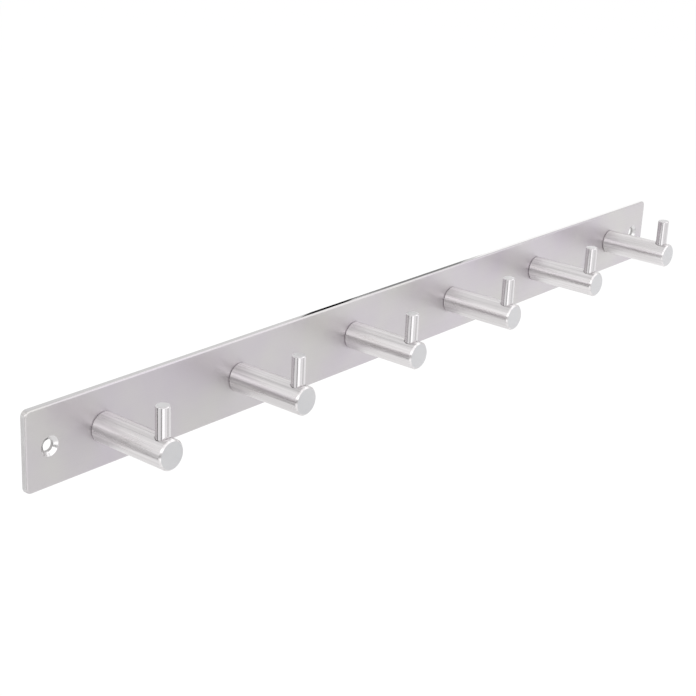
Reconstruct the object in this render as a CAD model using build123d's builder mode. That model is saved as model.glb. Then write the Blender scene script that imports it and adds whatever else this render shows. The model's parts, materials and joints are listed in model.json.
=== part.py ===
from build123d import *
import os
from math import radians, tan

# Wall coat rack: a flat steel bar with six round pegs, each with a stop pin near its end.
# Millimetres. X runs along the bar, Z is up, and the pegs point along -Y.
# The origin is the middle of the bar's back face, which lies against the wall.

# Row of pegs
peg_count = 6
peg_pitch = 90.0
end_overhang = 45.0

# Back plate
plate_height = 40.0
plate_thickness = 3.0
plate_corner_radius = 3.0
front_edge_bevel = 1.0

# Countersunk holes for the wall screws
wall_hole_diameter = 5.8
wall_sink_diameter = 10.0
wall_sink_angle = 118.0
wall_hole_end_distance = 13.5

# Pegs
peg_diameter = 15.0
peg_length = 45.0
peg_tip_chamfer = 0.8
peg_foot_chamfer = 0.4

# Stop pins
pin_diameter = 7.0
pin_rise = 15.0
pin_setback = 6.0
pin_seat_depth = 6.0
pin_top_chamfer = 0.4
pin_fit_clearance = 0.05

# Countersunk screws that hold the pegs from behind
screw_diameter = 5.0
screw_head_diameter = 9.2
screw_sink_angle = 90.0
screw_engagement = 12.0
screw_recess = 0.1
screw_seat_clearance = 0.05
screw_plate_clearance = 0.25
screw_thread_clearance = 0.05
tapped_hole_runout = 2.0
hex_key_size = 3.0
hex_key_depth = 1.6

# Places worked out from the sizes above
plate_length = (peg_count - 1) * peg_pitch + 2 * end_overhang
wall_hole_spacing = plate_length - 2 * wall_hole_end_distance
peg_places = [(number - (peg_count - 1) / 2) * peg_pitch for number in range(peg_count)]
peg_end = -plate_thickness - peg_length
pin_place = peg_end + pin_setback
pin_floor = peg_diameter / 2 - pin_seat_depth

# Screw head: a cone that lies in the plate's countersink
head_slope = tan(radians(screw_sink_angle / 2))
head_height = (screw_head_diameter - screw_diameter) / 2 / head_slope
screw_tip = -plate_thickness - screw_engagement
screw_sink_radius = screw_head_diameter / 2 + screw_recess * head_slope + screw_seat_clearance

# Faces that the pieces are drawn on: out from the wall, and in from behind
toward_room = Plane.XZ
toward_wall = -Plane.XZ

os.makedirs("parts", exist_ok=True)

# Back plate: a bar cut to length, with rounded corners and a bevel round its front face
with BuildPart() as back_plate:
    with BuildSketch(toward_room):
        RectangleRounded(plate_length, plate_height, plate_corner_radius)
    extrude(amount=plate_thickness)
    front_rim = back_plate.edges().group_by(Axis.Y)[0]
    chamfer(front_rim, front_edge_bevel)
    with Locations(toward_room.offset(plate_thickness)):
        with GridLocations(wall_hole_spacing, 0, 2, 1):
            CounterSinkHole(wall_hole_diameter / 2, wall_sink_diameter / 2, counter_sink_angle=wall_sink_angle)
    with Locations(toward_wall):
        with GridLocations(peg_pitch, 0, peg_count, 1):
            CounterSinkHole(
                screw_diameter / 2 + screw_plate_clearance,
                screw_sink_radius,
                counter_sink_angle=screw_sink_angle,
            )
back_plate.part.label = "back_plate"
export_step(back_plate.part, "parts/back_plate.step")

# Pegs: solid round bar, tapped in the foot and cross drilled near the end for its stop pin
for number, place in enumerate(peg_places, start=1):
    foot = Plane((place, -plate_thickness, 0), x_dir=(1, 0, 0), z_dir=(0, -1, 0))
    with BuildPart() as peg:
        with BuildSketch(foot):
            Circle(peg_diameter / 2)
        extrude(amount=peg_length)
        rims = peg.edges().group_by(Axis.Y)
        chamfer(rims[0], peg_tip_chamfer)
        chamfer(rims[-1], peg_foot_chamfer)
        with Locations(-foot):
            Hole(screw_diameter / 2 + screw_thread_clearance, depth=screw_engagement + tapped_hole_runout)
        with Locations((place, pin_place, peg_diameter / 2)):
            Hole(pin_diameter / 2 + pin_fit_clearance, depth=pin_seat_depth)
    peg.part.label = f"peg_{number}"
    export_step(peg.part, f"parts/peg_{number}.step")

# Stop pins: each stands on the floor of its peg's cross hole
for number, place in enumerate(peg_places, start=1):
    with BuildPart() as stop_pin:
        with BuildSketch(Plane((place, pin_place, pin_floor))):
            Circle(pin_diameter / 2)
        extrude(amount=pin_seat_depth + pin_rise)
        top_rim = stop_pin.edges().group_by(Axis.Z)[-1]
        chamfer(top_rim, pin_top_chamfer)
    stop_pin.part.label = f"stop_pin_{number}"
    export_step(stop_pin.part, f"parts/stop_pin_{number}.step")

# Peg screws: turned profiles with a hexagon socket, sunk just below the plate's back face
with BuildPart() as peg_screws:
    for place in peg_places:
        with BuildSketch(Plane((place, 0, 0))):
            with BuildLine():
                Polyline(
                    (0, -screw_recess),
                    (screw_head_diameter / 2, -screw_recess),
                    (screw_diameter / 2, -screw_recess - head_height),
                    (screw_diameter / 2, screw_tip),
                    (0, screw_tip),
                    close=True,
                )
            make_face()
        revolve(axis=Axis((place, 0, 0), (0, 1, 0)))
    with BuildSketch(toward_wall.offset(-screw_recess)):
        with GridLocations(peg_pitch, 0, peg_count, 1):
            RegularPolygon(hex_key_size / 2, side_count=6, major_radius=False)
    extrude(amount=-hex_key_depth, mode=Mode.SUBTRACT)
peg_screws.part.label = "peg_screws"
export_step(peg_screws.part, "parts/peg_screws.step")
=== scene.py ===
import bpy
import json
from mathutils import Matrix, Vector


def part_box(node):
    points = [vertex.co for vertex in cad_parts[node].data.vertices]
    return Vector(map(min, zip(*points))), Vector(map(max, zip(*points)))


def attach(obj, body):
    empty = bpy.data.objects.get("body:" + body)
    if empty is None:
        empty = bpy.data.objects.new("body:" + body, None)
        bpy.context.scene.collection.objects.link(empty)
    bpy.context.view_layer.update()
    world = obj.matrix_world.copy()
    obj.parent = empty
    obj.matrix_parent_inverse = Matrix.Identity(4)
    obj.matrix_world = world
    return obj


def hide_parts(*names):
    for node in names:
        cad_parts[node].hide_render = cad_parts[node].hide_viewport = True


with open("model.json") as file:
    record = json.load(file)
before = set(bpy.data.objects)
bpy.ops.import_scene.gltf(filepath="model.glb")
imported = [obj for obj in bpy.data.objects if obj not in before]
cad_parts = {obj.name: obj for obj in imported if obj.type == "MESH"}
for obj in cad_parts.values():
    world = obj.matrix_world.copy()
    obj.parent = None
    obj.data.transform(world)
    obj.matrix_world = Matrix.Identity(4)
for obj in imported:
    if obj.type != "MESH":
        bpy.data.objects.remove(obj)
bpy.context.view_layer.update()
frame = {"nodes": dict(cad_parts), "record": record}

import json
from math import cos, pi, radians, sin, tan

import bmesh
import bpy
from bpy.props import FloatProperty, FloatVectorProperty, PointerProperty
from mathutils import Matrix, Vector

bl_info = {
    "name": "Wall Coat Rack",
    "version": (1, 0, 0),
    "blender": (4, 5, 0),
    "location": "3D View > Sidebar > Coat Rack",
    "description": "Models a satin steel coat rack, piece by piece, and sets it on a pale stage",
    "category": "Add Mesh",
}

# The rack's own directions: along the plate, out into the room, and up
ALONG = Vector((1, 0, 0))
OUTWARD = Vector((0, -1, 0))
UPWARD = Vector((0, 0, 1))

# A millimetre in metres
MM = 0.001

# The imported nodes, with the places and sizes that they give
PLATE_NODE = "back_plate"
SCREWS_NODE = "peg_screws"
PEG_NODES = sorted(name for name in frame["nodes"] if name.startswith("peg_") and name != SCREWS_NODE)
PIN_NODES = sorted(name for name in frame["nodes"] if name.startswith("stop_pin_"))
PLATE_LOW, PLATE_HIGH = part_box(PLATE_NODE)
SCREWS_LOW, SCREWS_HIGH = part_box(SCREWS_NODE)
PLATE_THICKNESS = PLATE_HIGH.y - PLATE_LOW.y
PEG_PLACES = [(low.x + high.x) / 2 for low, high in map(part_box, PEG_NODES)]
PEG_PITCH = PEG_PLACES[1] - PEG_PLACES[0]
WALL_HOLES = next(mount["dims"] for mount in frame["record"]["mounts"] if mount["name"] == "wall_holes")

# Fineness of the meshes: faces round a full turn and across the rounded edges
TURN_STEPS = 96
CORNER_STEPS = 8
FRONT_RIM_STEPS = 6
SOFT_EDGE_STEPS = 3
SEAT_MOUTH_STEPS = 2

# Edges that bend by less are shaded smooth, and rings of a hole that bend by more are softened
SMOOTH_BELOW = radians(32)
RIM_ABOVE = radians(25)

# Points this close are one point, or lie on the same face
MERGE_DISTANCE = 1e-7
FLUSH_DISTANCE = 1e-6

# The flat collar round a hole, in widths of its softened rim
COLLAR_WIDTHS = 4

# A point of a pin seat's mouth lies this close to the seat's wall, and at least this far above its floor
SEAT_WALL_REACH = 0.01 * MM
SEAT_FLOOR_REACH = 1.0 * MM

# Sides of a screw's socket
KEY_SIDES = 6

# How squarely a face looks along a direction: the cosine of the angle between them
SQUARE_ON = 0.95
NEARLY_SQUARE_ON = 0.9
SIDE_ON = 0.2

# The noise in the finishes: the middle of its range, and how fine it is
NOISE_MIDDLE = (0.3, 0.7)
NOISE_ROUGHNESS = 0.55
GRAIN_DETAIL = 3.0
CLOUD_DETAIL = 2.0

# How far the grain and the clouds change the roughness, and the streaks the tone, as shares of it
GRAIN_ROUGHNESS = (0.85, 1.15)
CLOUD_ROUGHNESS = (0.94, 1.06)
STREAK_TONE = (0.85, 1.13)

# The part of a full turn that draws the gloss out across the marks
ACROSS_MARKS = 0.25

# The wave texture's phase, in radians, at a distance of 1 and a scale of 1
WAVE_RATE = 20

# A distance from the origin, in metres, that no piece of the rack reaches
BEYOND_RACK = 1.0

# The mix node's sockets for colours
MIX_AMOUNT = 0
MIX_FIRST = 6
MIX_SECOND = 7
MIX_RESULT = 2

# Width of the camera's sensor in millimetres
SENSOR_WIDTH = 36.0


# Settings

def length(name, description, default):
    """A size in metres that a user can change."""
    return FloatProperty(name=name, description=description, default=default, min=0.0, precision=5,
                         unit="LENGTH")


def angle(name, description, default):
    """An angle that a user can change, with its default in degrees."""
    return FloatProperty(name=name, description=description, default=radians(default), min=0.0, max=pi,
                         subtype="ANGLE", unit="ROTATION")


def share(name, description, default):
    """A number from 0 to 1 that a user can change."""
    return FloatProperty(name=name, description=description, default=default, min=0.0, max=1.0,
                         subtype="FACTOR")


def colour(name, description, default):
    """An opaque colour that a user can change."""
    return FloatVectorProperty(name=name, description=description, default=(*default, 1.0), size=4, min=0.0,
                               max=1.0, subtype="COLOR")


class PlateSettings(bpy.types.PropertyGroup):
    """Sizes and finishes of the back plate"""
    corner_radius: length("Corner Radius", "Rounding of the plate's four corners", 3.0 * MM)
    edge_rounding: length("Edge Rounding", "Rounding of the front face's rim", 1.0 * MM)
    hole_spacing: length("Wall Hole Spacing", "Distance between the wall holes",
                         WALL_HOLES["spacing_x_mm"] * MM)
    hole_diameter: length("Wall Hole", "Diameter of the wall holes", 2 * WALL_HOLES["hole_r_mm"] * MM)
    sink_diameter: length("Wall Hole Sink", "Diameter of the wall holes' countersinks", 10.0 * MM)
    sink_angle: angle("Wall Hole Sink Angle", "Whole angle of the cones, as a drill's point cuts them", 118)
    fixing_hole_diameter: length("Fixing Hole", "Diameter of the holes for the peg screws", 5.5 * MM)
    fixing_sink_diameter: length("Fixing Hole Sink", "Diameter of the countersinks at the back", 9.5 * MM)
    fixing_sink_angle: angle("Fixing Hole Sink Angle", "Whole angle of the cones at the back", 90)
    rim_softness: length("Rim Softness", "Rounding of the holes' rims", 0.15 * MM)
    colour: colour("Satin", "Colour of the satin face", (0.542, 0.504, 0.55))
    second_colour: colour("Second Satin", "Colour that the satin face drifts to", (0.575, 0.562, 0.553))
    roughness: share("Roughness", "Mean roughness of the satin face", 0.36)
    edge_colour: colour("Edges", "Colour of the rolled long edges", (0.56, 0.55, 0.552))
    second_edge_colour: colour("Second Edges", "Colour that the long edges drift to", (0.585, 0.578, 0.58))
    edge_roughness: share("Edge Roughness", "Mean roughness of the rolled long edges", 0.06)
    end_colour: colour("Ends", "Colour of the cut short ends", (0.63, 0.62, 0.622))
    second_end_colour: colour("Second Ends", "Colour that the short ends drift to", (0.66, 0.652, 0.655))
    end_roughness: share("End Roughness", "Mean roughness of the cut short ends", 0.5)
    sink_colour: colour("Sinks", "Colour of the bright turned countersinks", (0.63, 0.62, 0.622))
    second_sink_colour: colour("Second Sinks", "Colour that the countersinks drift to", (0.66, 0.652, 0.655))
    sink_roughness: share("Sink Roughness", "Mean roughness of the countersinks", 0.2)
    # The bores' colour is darker than the steel's own: the darkness is painted shade, the shade that falls
    # inside the holes
    bore_painted_shade_colour: colour("Bores", "Colour of the drilled bores", (0.4, 0.39, 0.39))
    second_bore_painted_shade_colour: colour("Second Bores", "Colour that the bores drift to", (0.45, 0.44, 0.44))
    bore_roughness: share("Bore Roughness", "Mean roughness of the drilled bores", 0.35)


class PegSettings(bpy.types.PropertyGroup):
    """Sizes and finishes of the pegs"""
    tip_chamfer: length("Tip Chamfer", "Chamfer round the free end", 0.8 * MM)
    foot_chamfer: length("Foot Chamfer", "Chamfer round the end at the plate", 0.4 * MM)
    thread_diameter: length("Thread Hole", "Diameter of the tapped hole in the foot", 5.1 * MM)
    thread_depth: length("Thread Depth", "Depth of the tapped hole", 14.0 * MM)
    seat_clearance: length("Seat Clearance", "Gap round the stop pin in its seat", 0.05 * MM)
    seat_mouth: length("Seat Mouth", "Break of the edge round the stop pin's seat", 0.35 * MM)
    edge_softness: length("Edge Softness", "Rounding of the turned edges", 0.12 * MM)
    colour: colour("Bar", "Colour of the brushed bar", (0.682, 0.66, 0.663))
    second_colour: colour("Second Bar", "Colour that the brushed bar drifts to", (0.714, 0.695, 0.701))
    roughness: share("Roughness", "Mean roughness of the brushed bar", 0.3)
    end_colour: colour("Ends", "Colour of the faced ends", (0.59, 0.59, 0.603))
    second_end_colour: colour("Second Ends", "Colour that the faced ends drift to", (0.61, 0.606, 0.615))
    end_roughness: share("End Roughness", "Mean roughness of the faced ends", 0.4)
    ring_spacing: length("Ring Spacing", "Distance between the turning rings on the ends", 0.25 * MM)


class PinSettings(bpy.types.PropertyGroup):
    """Sizes and finishes of the stop pins"""
    top_chamfer: length("Top Chamfer", "Chamfer round the top", 0.4 * MM)
    edge_softness: length("Edge Softness", "Rounding of the turned edges", 0.12 * MM)
    colour: colour("Pins", "Colour of the pins' sides", (0.635, 0.615, 0.625))
    second_colour: colour("Second Pins", "Colour that the pins' sides drift to", (0.655, 0.64, 0.65))
    roughness: share("Roughness", "Mean roughness of the pins' sides", 0.13)
    top_colour: colour("Tops", "Colour of the faced tops", (0.62, 0.61, 0.615))
    second_top_colour: colour("Second Tops", "Colour that the faced tops drift to", (0.65, 0.645, 0.65))
    top_roughness: share("Top Roughness", "Mean roughness of the faced tops", 0.36)


class ScrewSettings(bpy.types.PropertyGroup):
    """Sizes and finish of the screws behind the plate"""
    shank_diameter: length("Shank", "Diameter of the screw's shank", 5.0 * MM)
    key_size: length("Key Size", "Width across the flats of the hexagon socket", 3.0 * MM)
    key_depth: length("Key Depth", "Depth of the hexagon socket", 1.6 * MM)
    edge_softness: length("Edge Softness", "Rounding of the turned edges", 0.1 * MM)
    colour: colour("Screws", "Colour of the screws", (0.45, 0.45, 0.45))
    second_colour: colour("Second Screws", "Colour that the screws drift to", (0.48, 0.48, 0.475))
    roughness: share("Roughness", "Mean roughness of the screws", 0.3)


class StageSettings(bpy.types.PropertyGroup):
    """Floor, surround and camera"""
    floor_drop: length("Floor Drop", "Height of the plate's lower edge above the floor", 0.6)
    floor_radius: length("Floor Radius", "Radius of the round floor", 12.0)
    floor_colour: colour("Floor", "Colour of the floor", (0.8, 0.8, 0.8))
    floor_glow: share("Floor Glow", "Light that makes up the floor's tone where it is seen directly", 0.2)
    surround_colour: colour("Surround", "Colour of the white surround", (1.0, 1.0, 1.0))
    camera_place: FloatVectorProperty(name="Camera Place", description="Where the camera stands",
                                      default=(-0.65489, -0.49044, 0.28252), subtype="TRANSLATION",
                                      unit="LENGTH")
    camera_turn: FloatVectorProperty(name="Camera Turn", description="How the camera is turned",
                                     default=(radians(69.5734), radians(-2.6563), radians(-50.187)),
                                     subtype="EULER", unit="ROTATION")
    camera_lens: FloatProperty(name="Lens", description="Focal length in millimetres", default=78.79,
                               min=1.0, subtype="DISTANCE_CAMERA")


class CoatRackSettings(bpy.types.PropertyGroup):
    """All settings of the rack and its stage"""
    plate: PointerProperty(type=PlateSettings)
    pegs: PointerProperty(type=PegSettings)
    pins: PointerProperty(type=PinSettings)
    screws: PointerProperty(type=ScrewSettings)
    stage: PointerProperty(type=StageSettings)


# Shapes

def unit_square(bm, place):
    """A square with sides of 1, which the matrix of its place sizes and moves."""
    bmesh.ops.create_grid(bm, x_segments=1, y_segments=1, size=0.5, matrix=place)


def turned(bm, profile, centre, axis, side):
    """Turns a profile of (radius, height) points about an axis through the centre."""
    verts = [bm.verts.new(centre + axis * height + side * radius) for radius, height in profile]
    edges = [bm.edges.new(pair) for pair in zip(verts, verts[1:])]
    bmesh.ops.spin(bm, geom=verts + edges, cent=centre, axis=axis, angle=2 * pi, steps=TURN_STEPS,
                   use_merge=True)
    bmesh.ops.remove_doubles(bm, verts=bm.verts, dist=MERGE_DISTANCE)


def soften(bm, width, edges=None):
    """Rounds the given edges, or all that are sharp, with a small bevel."""
    if edges is None:
        edges = [edge for edge in bm.edges if edge.is_manifold and edge.calc_face_angle() > SMOOTH_BELOW]
    bmesh.ops.bevel(bm, geom=edges, offset=width, affect="EDGES", segments=SOFT_EDGE_STEPS, profile=0.5,
                    material=-1, clamp_overlap=True)


def shade(mesh):
    """Shades a mesh smooth, apart from its sharp edges."""
    mesh.shade_smooth()
    mesh.set_sharp_from_angle(angle=SMOOTH_BELOW)


def as_object(bm, name):
    """Writes a finished bmesh to an object at the origin."""
    bmesh.ops.recalc_face_normals(bm, faces=bm.faces)
    mesh = bpy.data.meshes.new(name)
    bm.to_mesh(mesh)
    bm.free()
    shade(mesh)
    made = bpy.data.objects.new(name, mesh)
    bpy.context.scene.collection.objects.link(made)
    return made


def check_closed(piece):
    """Fails when a piece's mesh is empty or open, or when more than two of its faces share an edge."""
    bm = bmesh.new()
    bm.from_mesh(piece.data)
    closed = len(bm.faces) > 0 and all(edge.is_manifold for edge in bm.edges)
    bm.free()
    if not closed:
        raise RuntimeError(f"{piece.name} is not a closed shape")


def dress(piece, node_name, slot, finish, *other_finishes):
    """Gives a piece its finish and lets it stand for its node.

    Each of the other finishes comes with a test that chooses the faces that have it.
    """
    check_closed(piece)
    piece.data.materials.append(finish)
    for number, (other_finish, has_finish) in enumerate(other_finishes, start=1):
        piece.data.materials.append(other_finish)
        for face in piece.data.polygons:
            if has_finish(face):
                face.material_index = number
    normals = piece.modifiers.new("flat_faces_stay_flat", "WEIGHTED_NORMAL")
    normals.keep_sharp = True
    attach(piece, "root")
    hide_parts(node_name)


def hole_wall(bm, centre, sink_radius, sink_angle, neck_radius, inward, softness):
    """Adds the wall of a countersunk hole with a narrow flat collar at each face.

    The centre lies on the face that the sink opens to, and inward points into the plate.
    """
    collar = COLLAR_WIDTHS * softness
    sink_depth = (sink_radius - neck_radius) / tan(sink_angle / 2)
    profile = [
        (sink_radius + collar, 0.0),
        (sink_radius, 0.0),
        (neck_radius, sink_depth),
        (neck_radius, PLATE_THICKNESS),
        (neck_radius + collar, PLATE_THICKNESS),
    ]
    known = set(bm.edges)
    turned(bm, profile, centre, inward, ALONG)
    wall = [edge for edge in bm.edges if edge not in known]
    rings = [edge for edge in wall if edge.is_manifold and edge.calc_face_angle() > RIM_ABOVE]
    soften(bm, softness, rings)


def plate_mesh(settings):
    """The back plate: a bar with rounded corners, an eased front rim and eight countersunk holes."""
    bm = bmesh.new()
    middle = (PLATE_LOW + PLATE_HIGH) / 2
    size = PLATE_HIGH - PLATE_LOW
    at_back = Matrix.Translation((middle.x, PLATE_HIGH.y, middle.z))
    upright = Matrix.Rotation(pi / 2, 4, "X")
    unit_square(bm, at_back @ upright @ Matrix.Diagonal((size.x, size.z, 1, 1)))
    bmesh.ops.bevel(bm, geom=bm.verts[:], offset=settings.corner_radius, affect="VERTICES",
                    segments=CORNER_STEPS, profile=0.5, material=-1)
    front = bmesh.ops.extrude_face_region(bm, geom=bm.faces[:])["geom"]
    front_verts = [part for part in front if isinstance(part, bmesh.types.BMVert)]
    bmesh.ops.translate(bm, verts=front_verts, vec=OUTWARD * PLATE_THICKNESS)
    front_rim = [edge for edge in bm.edges if all(vert in front_verts for vert in edge.verts)]
    bmesh.ops.bevel(bm, geom=front_rim, offset=settings.edge_rounding, affect="EDGES",
                    segments=FRONT_RIM_STEPS, profile=0.5, material=-1)
    broad_faces = [face for face in bm.faces if len(face.verts) > 4]
    bmesh.ops.delete(bm, geom=broad_faces, context="FACES_ONLY")
    for side in (-1, 1):
        centre = Vector((side * settings.hole_spacing / 2, PLATE_LOW.y, 0))
        hole_wall(bm, centre, settings.sink_diameter / 2, settings.sink_angle, settings.hole_diameter / 2,
                  -OUTWARD, settings.rim_softness)
    for x in PEG_PLACES:
        centre = Vector((x, PLATE_HIGH.y, 0))
        hole_wall(bm, centre, settings.fixing_sink_diameter / 2, settings.fixing_sink_angle,
                  settings.fixing_hole_diameter / 2, OUTWARD, settings.rim_softness)
    for y, normal in ((PLATE_LOW.y, OUTWARD), (PLATE_HIGH.y, -OUTWARD)):
        rims = [edge for edge in bm.edges
                if edge.is_boundary and all(abs(vert.co.y - y) < FLUSH_DISTANCE for vert in edge.verts)]
        bmesh.ops.triangle_fill(bm, edges=rims, use_beauty=True, normal=normal)
    return bm


def peg_mesh(settings, low, high):
    """One peg: a turned bar with chamfered ends and a tapped hole in its foot."""
    bm = bmesh.new()
    radius = (high.x - low.x) / 2
    reach = high.y - low.y
    foot = Vector(((low.x + high.x) / 2, high.y, (low.z + high.z) / 2))
    thread_radius = settings.thread_diameter / 2
    profile = [
        (0.0, settings.thread_depth),
        (thread_radius, settings.thread_depth),
        (thread_radius, 0.0),
        (radius - settings.foot_chamfer, 0.0),
        (radius, settings.foot_chamfer),
        (radius, reach - settings.tip_chamfer),
        (radius - settings.tip_chamfer, reach),
        (0.0, reach),
    ]
    turned(bm, profile, foot, OUTWARD, UPWARD)
    soften(bm, settings.edge_softness)
    return bm


def pin_seat_mesh(clearance, low, high):
    """The drill that cuts a stop pin's seat into its peg."""
    bm = bmesh.new()
    radius = (high.x - low.x) / 2 + clearance
    rise = high.z - low.z
    floor = Vector(((low.x + high.x) / 2, (low.y + high.y) / 2, low.z))
    turned(bm, [(0.0, 0.0), (radius, 0.0), (radius, rise), (0.0, rise)], floor, UPWARD, ALONG)
    return bm


def pin_mesh(settings, low, high):
    """One stop pin: a turned bar with a chamfered top."""
    bm = bmesh.new()
    radius = (high.x - low.x) / 2
    rise = high.z - low.z
    floor = Vector(((low.x + high.x) / 2, (low.y + high.y) / 2, low.z))
    profile = [
        (0.0, 0.0),
        (radius, 0.0),
        (radius, rise - settings.top_chamfer),
        (radius - settings.top_chamfer, rise),
        (0.0, rise),
    ]
    turned(bm, profile, floor, UPWARD, ALONG)
    soften(bm, settings.edge_softness)
    return bm


def cut_away(piece, drill):
    """Cuts the drill's shape out of a piece and removes the drill."""
    cut = piece.modifiers.new("cut", "BOOLEAN")
    cut.operation = "DIFFERENCE"
    cut.solver = "EXACT"
    cut.object = drill
    graph = bpy.context.evaluated_depsgraph_get()
    mesh = bpy.data.meshes.new_from_object(piece.evaluated_get(graph))
    mesh.name = piece.data.name
    piece.modifiers.clear()
    piece.data = mesh
    bpy.data.objects.remove(drill)


def break_seat_edge(piece, width, pin_low, pin_high, clearance):
    """Breaks the sharp edge where the stop pin's seat opens through the peg's round side."""
    bm = bmesh.new()
    bm.from_mesh(piece.data)
    centre = (pin_low + pin_high) / 2
    radius = (pin_high.x - pin_low.x) / 2 + clearance

    def on_mouth(vert):
        reach = (vert.co - centre).to_2d().length
        return abs(reach - radius) < SEAT_WALL_REACH and vert.co.z > pin_low.z + SEAT_FLOOR_REACH

    mouth = [edge for edge in bm.edges
             if all(map(on_mouth, edge.verts)) and edge.calc_face_angle() > SMOOTH_BELOW]
    if not mouth:
        raise RuntimeError(f"{piece.name} has no seat for its stop pin")
    bmesh.ops.bevel(bm, geom=mouth, offset=width, affect="EDGES", segments=SEAT_MOUTH_STEPS, profile=0.5,
                    material=-1, clamp_overlap=False)
    bm.to_mesh(piece.data)
    bm.free()
    shade(piece.data)


def screws_mesh(settings):
    """The peg screws: countersunk heads with hexagon sockets on plain shanks."""
    bm = bmesh.new()
    head_radius = (SCREWS_HIGH.z - SCREWS_LOW.z) / 2
    shank_radius = settings.shank_diameter / 2
    reach = SCREWS_HIGH.y - SCREWS_LOW.y
    corner_radius = settings.key_size / 2 / cos(pi / KEY_SIDES)
    ring_radius = (corner_radius + head_radius) / 2
    for x in PEG_PLACES:
        top = Vector((x, SCREWS_HIGH.y, 0))
        profile = [
            (ring_radius, 0.0),
            (head_radius, 0.0),
            (shank_radius, head_radius - shank_radius),
            (shank_radius, reach),
            (0.0, reach),
        ]
        known = set(bm.edges)
        turned(bm, profile, top, OUTWARD, ALONG)
        open_ring = [edge for edge in bm.edges if edge not in known and edge.is_boundary]
        place = Matrix.Translation(top) @ Matrix.Rotation(pi / 2, 4, "X")
        socket = bmesh.ops.create_circle(bm, segments=KEY_SIDES, radius=corner_radius, matrix=place)["verts"]
        sides = list({edge for vert in socket for edge in vert.link_edges})
        rim = bmesh.ops.subdivide_edges(bm, edges=sides, cuts=TURN_STEPS // KEY_SIDES - 1)["geom"]
        rim = list({part for part in rim + sides if isinstance(part, bmesh.types.BMEdge)})
        bmesh.ops.bridge_loops(bm, edges=open_ring + rim)
        walls = bmesh.ops.extrude_edge_only(bm, edges=rim)["geom"]
        deep_verts = [part for part in walls if isinstance(part, bmesh.types.BMVert)]
        deep_edges = [part for part in walls if isinstance(part, bmesh.types.BMEdge) and part.is_boundary]
        bmesh.ops.translate(bm, verts=deep_verts, vec=OUTWARD * settings.key_depth)
        bmesh.ops.contextual_create(bm, geom=deep_edges)
    bmesh.ops.recalc_face_normals(bm, faces=bm.faces)
    soften(bm, settings.edge_softness)
    return bm


# Finishes

def node(tree, kind, inputs, **options):
    """Adds a shader node, sets its options, and links or writes its inputs."""
    made = tree.nodes.new("ShaderNode" + kind)
    for option, value in options.items():
        setattr(made, option, value)
    for key, value in inputs.items():
        if isinstance(value, bpy.types.NodeSocket):
            tree.links.new(value, made.inputs[key])
        else:
            made.inputs[key].default_value = value
    return made


def noise(tree, stretch, detail, shift=0.0):
    """A noise with its own scale along each direction of the rack, moved along the plate by the shift."""
    coordinates = node(tree, "TexCoord", {})
    mapping = node(tree, "Mapping", {"Vector": coordinates.outputs["Object"], "Scale": stretch,
                                     "Location": (shift, 0, 0)})
    return node(tree, "TexNoise", {"Vector": mapping.outputs["Vector"], "Scale": 1.0, "Detail": detail,
                                   "Roughness": NOISE_ROUGHNESS}).outputs["Fac"]


def spread(tree, value, low, high):
    """Spreads the middle of a noise over a range."""
    middle_low, middle_high = NOISE_MIDDLE
    return node(tree, "MapRange", {"Value": value, "From Min": middle_low, "From Max": middle_high,
                                   "To Min": low, "To Max": high}).outputs["Result"]


def mix(tree, amount, first, second, blend="MIX"):
    """Blends a second colour into the first by the given amount."""
    inputs = {MIX_AMOUNT: amount, MIX_FIRST: first, MIX_SECOND: second}
    return node(tree, "Mix", inputs, data_type="RGBA", blend_type=blend).outputs[MIX_RESULT]


def turning_rings(tree, spacing):
    """Fine rings about the axis of every peg, as facing on a lathe leaves them."""
    first = PEG_PLACES[0]
    coordinates = node(tree, "TexCoord", {})
    wrap_high = (first + PEG_PITCH / 2, BEYOND_RACK, BEYOND_RACK)
    wrap_low = (first - PEG_PITCH / 2, -BEYOND_RACK, -BEYOND_RACK)
    repeated = node(tree, "VectorMath", {0: coordinates.outputs["Object"], 1: wrap_high, 2: wrap_low},
                    operation="WRAP")
    centred = node(tree, "VectorMath", {0: repeated.outputs[0], 1: (first, 0, 0)}, operation="SUBTRACT")
    scale = 2 * pi / (WAVE_RATE * spacing)
    return node(tree, "TexWave", {"Vector": centred.outputs[0], "Scale": scale}, wave_type="RINGS",
                rings_direction="Y").outputs["Fac"]


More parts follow.
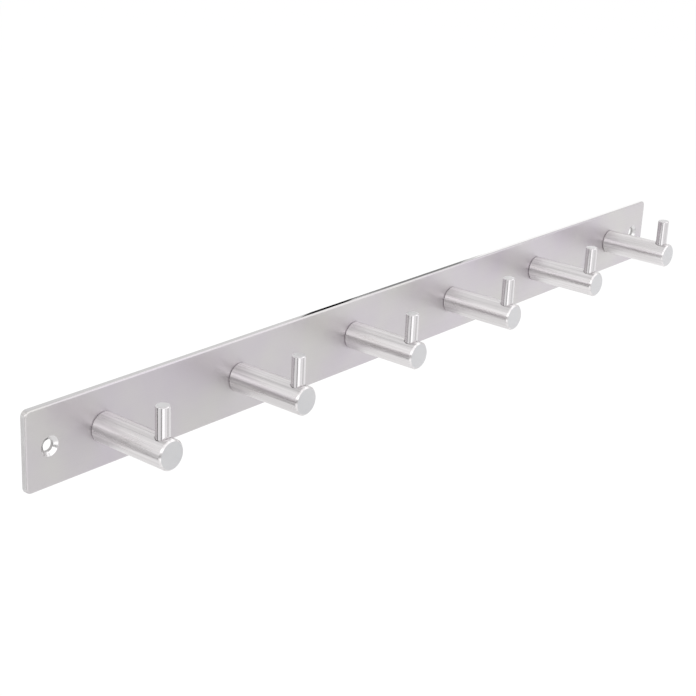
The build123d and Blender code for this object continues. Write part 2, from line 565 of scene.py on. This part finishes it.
def steel(name, tone, second_tone, roughness, cloud_size, stroke_depth, strokes=None, rings=None,
          streaks=None, lay_axis="Y", lay=0.0, cloud_shift=0.0):
    """Steel with fine marks in its gloss and relief, and faint clouds in its tone.

    The marks are strokes, with their number in a metre along each direction of the rack, or turning rings
    with their spacing. Streaks are coarser strokes in the tone.
    The lay is how far the marks run one way, round the given axis, and so draw the gloss out across them.
    The cloud shift moves the clouds along the plate, in cloud sizes.
    """
    material = bpy.data.materials.new(name)
    material.use_nodes = True
    tree = material.node_tree
    shader = tree.nodes["Principled BSDF"]
    shader.inputs["Metallic"].default_value = 1.0
    shader.inputs["Anisotropic"].default_value = lay
    shader.inputs["Anisotropic Rotation"].default_value = ACROSS_MARKS
    marks = node(tree, "Tangent", {}, direction_type="RADIAL", axis=lay_axis)
    tree.links.new(marks.outputs["Tangent"], shader.inputs["Tangent"])
    grain = turning_rings(tree, rings) if rings else noise(tree, strokes, GRAIN_DETAIL)
    clouds = noise(tree, (1 / cloud_size,) * 3, CLOUD_DETAIL, cloud_shift)
    toned = mix(tree, spread(tree, clouds, 0.0, 1.0), tone, second_tone)
    if streaks:
        bands = spread(tree, noise(tree, streaks, CLOUD_DETAIL), *STREAK_TONE)
        toned = mix(tree, 1.0, toned, bands, blend="MULTIPLY")
    tree.links.new(toned, shader.inputs["Base Color"])
    smoothest, roughest = (part * roughness for part in GRAIN_ROUGHNESS)
    gloss = node(tree, "Math", {0: spread(tree, grain, smoothest, roughest),
                                1: spread(tree, clouds, *CLOUD_ROUGHNESS)}, operation="MULTIPLY")
    tree.links.new(gloss.outputs[0], shader.inputs["Roughness"])
    relief = node(tree, "Bump", {"Height": grain, "Strength": 1.0, "Distance": stroke_depth})
    tree.links.new(relief.outputs["Normal"], shader.inputs["Normal"])
    return material


def plate_finishes(settings):
    """The plate's satin steel, then its other finishes with the tests that choose their faces; the bores'
    darker colour is painted shade.
    """
    satin = steel("plate_satin", settings.colour, settings.second_colour, settings.roughness,
                  cloud_size=45 * MM, stroke_depth=0.004 * MM, strokes=(14, 900, 2600), lay_axis="Z",
                  lay=0.5, cloud_shift=3.3)
    rolled = steel("plate_edge_rolled", settings.edge_colour, settings.second_edge_colour,
                   settings.edge_roughness, cloud_size=10 * MM, stroke_depth=0.001 * MM,
                   strokes=(60, 1500, 1500))
    cut = steel("plate_end_cut", settings.end_colour, settings.second_end_colour, settings.end_roughness,
                cloud_size=8 * MM, stroke_depth=0.002 * MM, strokes=(1500, 1500, 60))
    bright = steel("plate_sink_turned", settings.sink_colour, settings.second_sink_colour,
                   settings.sink_roughness, cloud_size=5 * MM, stroke_depth=0.001 * MM,
                   strokes=(1500, 1500, 1500))
    # The bores' darker colour is painted shade, the shade that falls inside the holes; their roughness and
    # fine marks are the drilled finish's own
    drilled = steel("plate_bore_drilled_painted_shade", settings.bore_painted_shade_colour, settings.second_bore_painted_shade_colour,
                    settings.bore_roughness, cloud_size=3 * MM, stroke_depth=0.004 * MM,
                    strokes=(900, 4000, 900))
    inner_x = PLATE_HIGH.x - settings.corner_radius
    inner_z = PLATE_HIGH.z - settings.corner_radius

    def is_long_edge(face):
        return abs(face.normal.z) > NEARLY_SQUARE_ON and abs(face.center.z) > inner_z

    def is_short_end(face):
        return abs(face.normal.x) > NEARLY_SQUARE_ON and abs(face.center.x) > inner_x

    def is_in_hole(face):
        return abs(face.center.x) < inner_x and abs(face.center.z) < inner_z

    def is_sink(face):
        return is_in_hole(face) and SIDE_ON < abs(face.normal.y) < SQUARE_ON

    def is_bore(face):
        return is_in_hole(face) and abs(face.normal.y) <= SIDE_ON

    return satin, (rolled, is_long_edge), (cut, is_short_end), (bright, is_sink), (drilled, is_bore)


def peg_finishes(settings):
    """The pegs' brushed steel, then the faced steel of their free ends with the test for them."""
    brushed = steel("peg_brushed", settings.colour, settings.second_colour, settings.roughness,
                    cloud_size=20 * MM, stroke_depth=0.001 * MM, strokes=(2200, 30, 2200),
                    streaks=(700, 6, 700), lay=0.9)
    faced = steel("peg_end_faced", settings.end_colour, settings.second_end_colour, settings.end_roughness,
                  cloud_size=8 * MM, stroke_depth=0.001 * MM, rings=settings.ring_spacing)

    def is_end(face):
        return face.normal.dot(OUTWARD) > SQUARE_ON

    return brushed, (faced, is_end)


def pin_finishes(settings):
    """The pins' smooth steel, then the faced steel of their tops with the test for them."""
    smooth = steel("pin_polished", settings.colour, settings.second_colour, settings.roughness,
                   cloud_size=10 * MM, stroke_depth=0.001 * MM, strokes=(2600, 2600, 60), lay_axis="Z",
                   lay=0.5)
    faced = steel("pin_top_faced", settings.top_colour, settings.second_top_colour, settings.top_roughness,
                  cloud_size=5 * MM, stroke_depth=0.001 * MM, strokes=(2600, 2600, 60), lay_axis="Z")

    def is_top(face):
        return face.normal.dot(UPWARD) > SQUARE_ON

    return smooth, (faced, is_top)


def screw_finish(settings):
    """The screws' plain steel."""
    return steel("screw_plain", settings.colour, settings.second_colour, settings.roughness,
                 cloud_size=10 * MM, stroke_depth=0.002 * MM, strokes=(900, 900, 900), lay=0.4)


# Stage

def from_rack(azimuth, elevation, distance):
    """A place seen from the rack: azimuth 0 is straight out into the room, and 90 is along the plate."""
    turn = radians(azimuth)
    rise = radians(elevation)
    return Vector((sin(turn) * cos(rise), -cos(turn) * cos(rise), sin(rise))) * distance


def face_rack(made, azimuth, elevation, distance):
    """Puts a lamp or a card at a place seen from the rack, turned to it and out of the camera's sight."""
    made.location = from_rack(azimuth, elevation, distance)
    made.rotation_euler = (-made.location).to_track_quat("-Z", "Y").to_euler()
    made.visible_camera = False


def soft_box(name, azimuth, elevation, distance, width, height, glow, accent=False):
    """A soft lamp that adds its glow to the white behind it. An accent shows in the steel alone."""
    lamp = bpy.data.lights.new(name, "AREA")
    lamp.shape = "RECTANGLE"
    lamp.size = width
    lamp.size_y = height
    lamp.energy = glow * pi * width * height
    made = bpy.data.objects.new(name, lamp)
    face_rack(made, azimuth, elevation, distance)
    made.visible_diffuse = not accent
    bpy.context.scene.collection.objects.link(made)


def stage_material(name):
    """A material for the stage, with nothing but its output, and its nodes."""
    material = bpy.data.materials.new(name)
    material.use_nodes = True
    tree = material.node_tree
    tree.nodes.remove(tree.nodes["Principled BSDF"])
    return material, tree


def show(tree, shader):
    """Links a shader to a material's surface."""
    tree.links.new(shader.outputs[0], tree.nodes["Material Output"].inputs["Surface"])


def flag(name, azimuth, elevation, distance, width, height, tone):
    """A card that only the steel reflects, from black at a tone of 0 to white at 1."""
    bm = bmesh.new()
    unit_square(bm, Matrix.Diagonal((width, height, 1, 1)))
    made = as_object(bm, name)
    face_rack(made, azimuth, elevation, distance)
    made.visible_diffuse = False
    made.visible_shadow = False
    material, tree = stage_material(name)
    show(tree, node(tree, "Emission", {"Color": (tone, tone, tone, 1.0), "Strength": 1.0}))
    made.data.materials.append(material)


def seen_directly(tree):
    """One for the rays that show the floor as it is: to the camera, off metal and through glass."""
    rays = node(tree, "LightPath", {}).outputs
    shown = node(tree, "Math", {0: rays["Is Camera Ray"], 1: rays["Is Glossy Ray"]}, operation="MAXIMUM")
    return node(tree, "Math", {0: shown.outputs[0], 1: rays["Is Transmission Ray"]},
                operation="MAXIMUM").outputs[0]


def add_floor(settings):
    """A wide pale floor that keeps the rack's shadow."""
    bm = bmesh.new()
    place = Matrix.Translation((0, 0, PLATE_LOW.z - settings.floor_drop))
    bmesh.ops.create_circle(bm, cap_ends=True, segments=TURN_STEPS, radius=settings.floor_radius,
                            matrix=place)
    made = as_object(bm, "floor")
    material, tree = stage_material("pale_floor")
    matt = node(tree, "BsdfDiffuse", {"Color": settings.floor_colour})
    glow = node(tree, "Emission", {"Color": settings.surround_colour, "Strength": settings.floor_glow})
    both = node(tree, "AddShader", {0: matt.outputs[0], 1: glow.outputs[0]})
    show(tree, node(tree, "MixShader", {0: seen_directly(tree), 1: matt.outputs[0], 2: both.outputs[0]}))
    made.data.materials.append(material)


def add_surround(settings):
    """A white world, seen as pure white by the camera and in the steel."""
    world = bpy.data.worlds.new("surround")
    world.use_nodes = True
    background = world.node_tree.nodes["Background"]
    background.inputs["Color"].default_value = settings.surround_colour
    background.inputs["Strength"].default_value = 1.0
    bpy.context.scene.world = world


def add_lamps():
    """The lamps, which brighten what the steel reflects."""
    soft_box("front_box", azimuth=25, elevation=30, distance=1.9, width=2.4, height=1.7, glow=0.7)
    soft_box("camera_box", azimuth=-57, elevation=20, distance=1.5, width=2.8, height=0.8, glow=1.1,
             accent=True)
    soft_box("strip_box", azimuth=-41, elevation=-28, distance=1.2, width=0.6, height=0.75, glow=0.6,
             accent=True)
    soft_box("right_box", azimuth=70, elevation=-12, distance=1.5, width=0.9, height=0.6, glow=0.12,
             accent=True)
    soft_box("high_right_box", azimuth=95, elevation=48, distance=1.5, width=0.9, height=0.6, glow=0.5,
             accent=True)
    soft_box("back_left_box", azimuth=-137, elevation=31, distance=1.5, width=0.8, height=0.3, glow=0.35,
             accent=True)


def add_flags():
    """The black and grey cards, which darken what the steel reflects."""
    flag("camera_side_flag", azimuth=-67, elevation=-24, distance=1.1, width=0.25, height=0.35, tone=0.45)
    flag("dark_side_flag", azimuth=-124.5, elevation=-19, distance=1.31, width=0.45, height=0.2, tone=0.0)
    flag("foot_flag", azimuth=-54, elevation=-1, distance=1.2, width=1.1, height=0.46, tone=0.4)
    flag("grey_side_flag", azimuth=-100, elevation=-6, distance=1.4, width=0.6, height=0.14, tone=0.45)
    flag("high_flag", azimuth=-120, elevation=60, distance=1.5, width=1.6, height=0.3, tone=0.75)
    flag("low_front_flag", azimuth=28, elevation=-27, distance=1.2, width=0.6, height=0.5, tone=0.84)


def add_back_row():
    """Two cards and a lamp side by side behind the rack's right end: black, grey and bright."""
    flag("black_back_flag", azimuth=131, elevation=19.4, distance=1.58, width=0.075, height=0.3, tone=0.0)
    flag("grey_back_flag", azimuth=126.4, elevation=17.5, distance=1.74, width=0.192, height=0.16, tone=0.33)
    soft_box("back_box", azimuth=117.9, elevation=14.6, distance=2.16, width=0.34, height=0.25, glow=0.45,
             accent=True)


def add_camera(settings):
    """The camera that looks along the rack from its left end."""
    data = bpy.data.cameras.new("camera")
    data.lens = settings.camera_lens
    data.sensor_width = SENSOR_WIDTH
    made = bpy.data.objects.new("camera", data)
    made.location = settings.camera_place
    made.rotation_euler = settings.camera_turn
    bpy.context.scene.collection.objects.link(made)
    bpy.context.scene.camera = made


# Operators and panel

class COATRACK_OT_plate(bpy.types.Operator):
    """Model the back plate with its countersunk holes"""
    bl_idname = "coat_rack.plate"
    bl_label = "Add Back Plate"

    def execute(self, context):
        settings = context.scene.coat_rack.plate
        plate = as_object(plate_mesh(settings), "satin_plate")
        dress(plate, PLATE_NODE, "plate_steel", *plate_finishes(settings))
        return {"FINISHED"}


class COATRACK_OT_pegs(bpy.types.Operator):
    """Model the pegs, each with a tapped foot and a cross-drilled seat for its stop pin"""
    bl_idname = "coat_rack.pegs"
    bl_label = "Add Pegs"

    def execute(self, context):
        settings = context.scene.coat_rack.pegs
        finishes = peg_finishes(settings)
        for number, (peg_node, pin_node) in enumerate(zip(PEG_NODES, PIN_NODES), start=1):
            pin_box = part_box(pin_node)
            peg = as_object(peg_mesh(settings, *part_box(peg_node)), f"brushed_peg_{number}")
            drill = as_object(pin_seat_mesh(settings.seat_clearance, *pin_box), "drill")
            cut_away(peg, drill)
            break_seat_edge(peg, settings.seat_mouth, *pin_box, settings.seat_clearance)
            dress(peg, peg_node, "peg_steel", *finishes)
        return {"FINISHED"}


class COATRACK_OT_pins(bpy.types.Operator):
    """Model the stop pins that stand in the pegs"""
    bl_idname = "coat_rack.pins"
    bl_label = "Add Stop Pins"

    def execute(self, context):
        settings = context.scene.coat_rack.pins
        finishes = pin_finishes(settings)
        for number, pin_node in enumerate(PIN_NODES, start=1):
            pin = as_object(pin_mesh(settings, *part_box(pin_node)), f"polished_pin_{number}")
            dress(pin, pin_node, "pin_steel", *finishes)
        return {"FINISHED"}


class COATRACK_OT_screws(bpy.types.Operator):
    """Model the countersunk screws that hold the pegs from behind"""
    bl_idname = "coat_rack.screws"
    bl_label = "Add Peg Screws"

    def execute(self, context):
        settings = context.scene.coat_rack.screws
        screws = as_object(screws_mesh(settings), "plain_screws")
        dress(screws, SCREWS_NODE, "screw_steel", screw_finish(settings))
        return {"FINISHED"}


class COATRACK_OT_stage(bpy.types.Operator):
    """Set up the floor, the white surround, the lamps, the cards and the camera"""
    bl_idname = "coat_rack.stage"
    bl_label = "Set Up Stage"

    def execute(self, context):
        settings = context.scene.coat_rack.stage
        add_floor(settings)
        add_surround(settings)
        add_lamps()
        add_flags()
        add_back_row()
        add_camera(settings)
        context.scene.view_settings.view_transform = "Standard"
        return {"FINISHED"}


class VIEW3D_PT_coat_rack(bpy.types.Panel):
    """The rack's pieces and settings"""
    bl_label = "Coat Rack"
    bl_space_type = "VIEW_3D"
    bl_region_type = "UI"
    bl_category = "Coat Rack"

    def draw(self, context):
        rack = context.scene.coat_rack
        steps = (
            (COATRACK_OT_plate, rack.plate),
            (COATRACK_OT_pegs, rack.pegs),
            (COATRACK_OT_pins, rack.pins),
            (COATRACK_OT_screws, rack.screws),
            (COATRACK_OT_stage, rack.stage),
        )
        for operator, settings in steps:
            box = self.layout.box()
            box.operator(operator.bl_idname)
            for name in settings.__annotations__:
                box.prop(settings, name)


CLASSES = (
    PlateSettings,
    PegSettings,
    PinSettings,
    ScrewSettings,
    StageSettings,
    CoatRackSettings,
    COATRACK_OT_plate,
    COATRACK_OT_pegs,
    COATRACK_OT_pins,
    COATRACK_OT_screws,
    COATRACK_OT_stage,
    VIEW3D_PT_coat_rack,
)


def register():
    for cls in CLASSES:
        bpy.utils.register_class(cls)
    bpy.types.Scene.coat_rack = PointerProperty(type=CoatRackSettings)


def unregister():
    del bpy.types.Scene.coat_rack
    for cls in reversed(CLASSES):
        bpy.utils.unregister_class(cls)


def main():
    register()
    bpy.ops.coat_rack.plate()
    bpy.ops.coat_rack.pegs()
    bpy.ops.coat_rack.pins()
    bpy.ops.coat_rack.screws()
    bpy.ops.coat_rack.stage()


if __name__ == "__main__":
    main()
